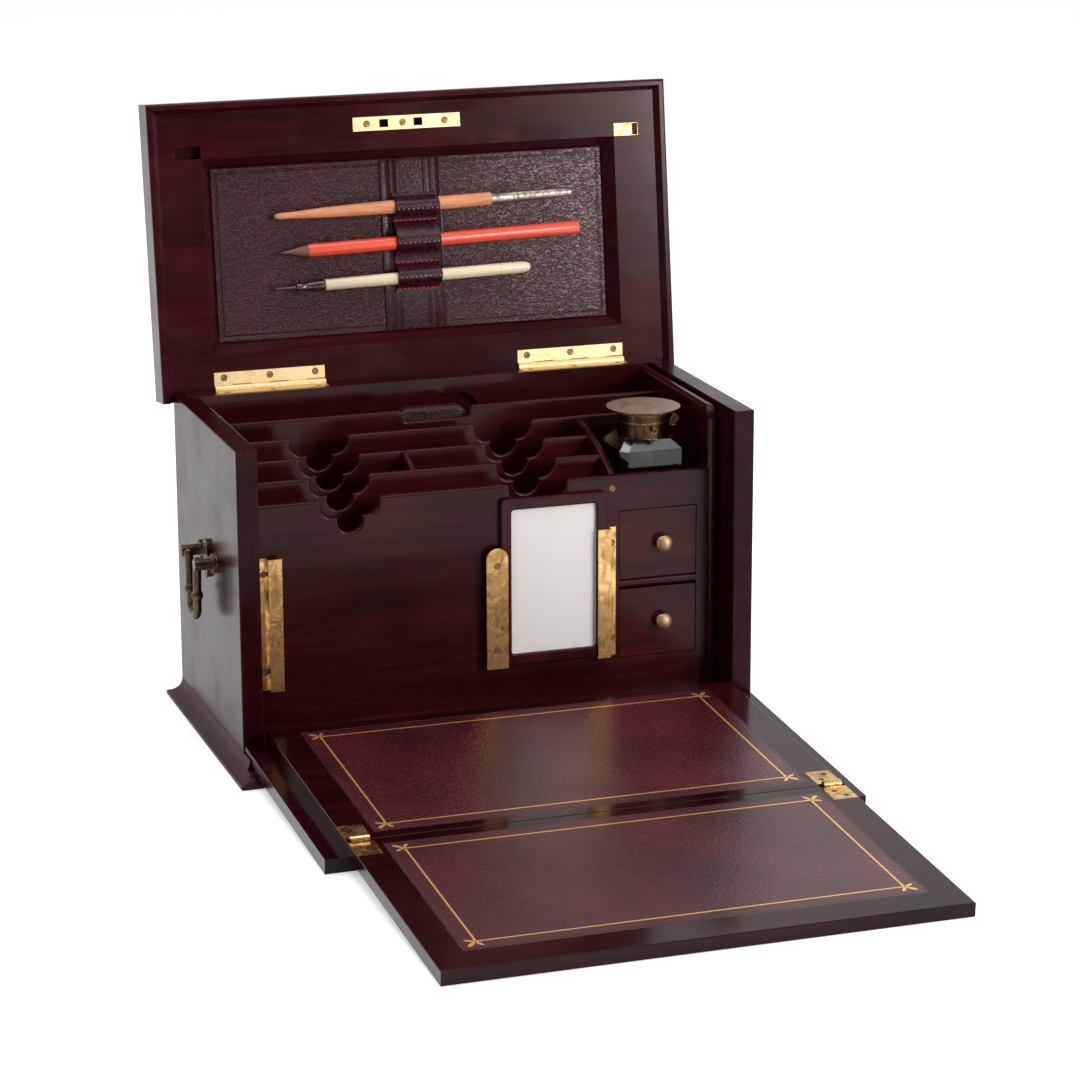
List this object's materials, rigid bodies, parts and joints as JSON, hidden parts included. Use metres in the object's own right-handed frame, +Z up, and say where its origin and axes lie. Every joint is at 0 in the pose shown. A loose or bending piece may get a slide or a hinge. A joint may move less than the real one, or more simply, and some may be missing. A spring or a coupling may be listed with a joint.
{
  "type": "stationery box",
  "caption": "Fall-front desk box with hinged lid, stepped letter rack, drawers, inkwell, pen loops and folding writing slope.",
  "frame": {"origin": "on the underside of the base, midway across, under the front edges of the two sides", "axes": "+X to the right across the front, +Y to the back, +Z up"},
  "size_m": [0.3248, 0.5151, 0.3472],
  "materials": {
    "mahogany": "dark red-brown, french polished",
    "polished_brass": "polished",
    "aged_brass": "aged brown",
    "tarnished_brass": "dark, tarnished",
    "ivorine": "off-white, satin",
    "clear_glass": "cut and polished",
    "burgundy_leather": "grained, gold tooled",
    "brown_leather": "crushed grain, glossy",
    "peach_wood": "lacquered",
    "orange_paint": "gloss paint",
    "ivory": "polished"
  },
  "bodies": {
    "case": {"base_board": "mahogany", "plinth_front": "mahogany", "plinth_back": "mahogany", "plinth_left": "mahogany", "plinth_right": "mahogany", "floor_board": "mahogany", "left_side": "mahogany", "right_side": "mahogany", "back_panel": "mahogany", "left_lining": "mahogany", "right_lining": "mahogany", "front_board": "mahogany", "divider_second": "mahogany", "divider_third": "mahogany", "divider_fourth": "mahogany", "back_divider": "mahogany", "letter_partition": "mahogany", "curved_partition": "mahogany", "drawer_case": "mahogany", "inkwell_shelf": "mahogany", "channel_left": "polished_brass", "channel_middle": "polished_brass", "channel_right": "polished_brass", "carcass_screws": "polished_brass", "lid_hinge_lower_leaves": "polished_brass", "fall_hinge_floor_leaves": "polished_brass", "hinge_pins": "polished_brass", "handle_bosses": "tarnished_brass"},
    "tablet": {"tablet_frame": "mahogany", "tablet_panel": "ivorine"},
    "lower_drawer": {"drawer_lower": "mahogany", "drawer_knob_lower": "aged_brass"},
    "upper_drawer": {"drawer_upper": "mahogany", "drawer_knob_upper": "aged_brass"},
    "inkwell": {"inkwell_glass": "clear_glass", "inkwell_collar": "aged_brass"},
    "inkwell_lid": {"inkwell_cap": "aged_brass"},
    "lid": {"lid_top": "mahogany", "lid_frame": "mahogany", "lid_leather": "brown_leather", "pen_strap": "brown_leather", "striker_plate": "polished_brass", "lid_hinge_upper_leaves": "polished_brass", "lid_screws": "polished_brass"},
    "dip_pen": {"dip_pen": "peach_wood"},
    "pencil": {"pencil": "orange_paint"},
    "ivory_pen": {"ivory_pen": "ivory"},
    "fall": {"fall_board": "mahogany", "writing_leaf_rear": "mahogany", "leather_rear": "burgundy_leather", "fall_hinge_board_leaves": "polished_brass", "leaf_hinge_rear_leaves": "polished_brass", "leaf_hinge_pins": "polished_brass", "lock_case": "polished_brass"},
    "front_leaf": {"writing_leaf_front": "mahogany", "leather_front": "burgundy_leather", "leaf_hinge_front_leaves": "polished_brass"},
    "left_bail": {"handle_bail_left": "tarnished_brass"},
    "right_bail": {"handle_bail_right": "tarnished_brass"},
    "leather_case": {"leather_case": "brown_leather"}
  },
  "joints": [
    {"name": "lid_hinge", "type": "hinge", "parent": "case", "child": "lid", "pos_m": [0, 0.149, 0.18215], "axis": [-1, 0, 0], "range_deg": [-97.4, 0]},
    {"name": "fall_hinge", "type": "hinge", "parent": "case", "child": "fall", "pos_m": [0, -0.00015, 0.016], "axis": [1, 0, 0], "range_deg": [-92.8, 0]},
    {"name": "leaf_fold", "type": "hinge", "parent": "fall", "child": "front_leaf", "pos_m": [0, -0.16338, 0.01568], "axis": [1, 0, 0], "range_deg": [-180, 0]},
    {"name": "lower_drawer_slide", "type": "slide", "parent": "case", "child": "lower_drawer", "axis": [0, -1, 0], "range_m": [0, 0.045]},
    {"name": "upper_drawer_slide", "type": "slide", "parent": "case", "child": "upper_drawer", "axis": [0, -1, 0], "range_m": [0, 0.045]},
    {"name": "tablet_slide", "type": "slide", "parent": "case", "child": "tablet", "axis": [0, 0, 1], "range_m": [0, 0.06]},
    {"name": "inkwell_lift", "type": "slide", "parent": "case", "child": "inkwell", "axis": [0, 0, 1], "range_m": [0, 0.05]},
    {"name": "inkwell_cap_hinge", "type": "hinge", "parent": "inkwell", "child": "inkwell_lid", "pos_m": [0.12, 0.052, 0.1693], "axis": [0, 1, 0], "range_deg": [0, 100]},
    {"name": "dip_pen_slide", "type": "slide", "parent": "lid", "child": "dip_pen", "axis": [0.9997, 0.0029, 0.0225], "range_m": [-0.013, 0.013]},
    {"name": "pencil_slide", "type": "slide", "parent": "lid", "child": "pencil", "axis": [0.9997, 0.0029, 0.0225], "range_m": [-0.013, 0.013]},
    {"name": "ivory_pen_slide", "type": "slide", "parent": "lid", "child": "ivory_pen", "axis": [0.9997, 0.0029, 0.0225], "range_m": [-0.013, 0.013]},
    {"name": "left_bail_hinge", "type": "hinge", "parent": "case", "child": "left_bail", "pos_m": [-0.159, 0.071, 0.1055], "axis": [0, 1, 0], "range_deg": [-8, 95]},
    {"name": "right_bail_hinge", "type": "hinge", "parent": "case", "child": "right_bail", "pos_m": [0.159, 0.071, 0.1055], "axis": [0, -1, 0], "range_deg": [-8, 95]},
    {"name": "leather_case_lift", "type": "slide", "parent": "case", "child": "leather_case", "axis": [0, 0, 1], "range_m": [0, 0.06]}
  ]
}
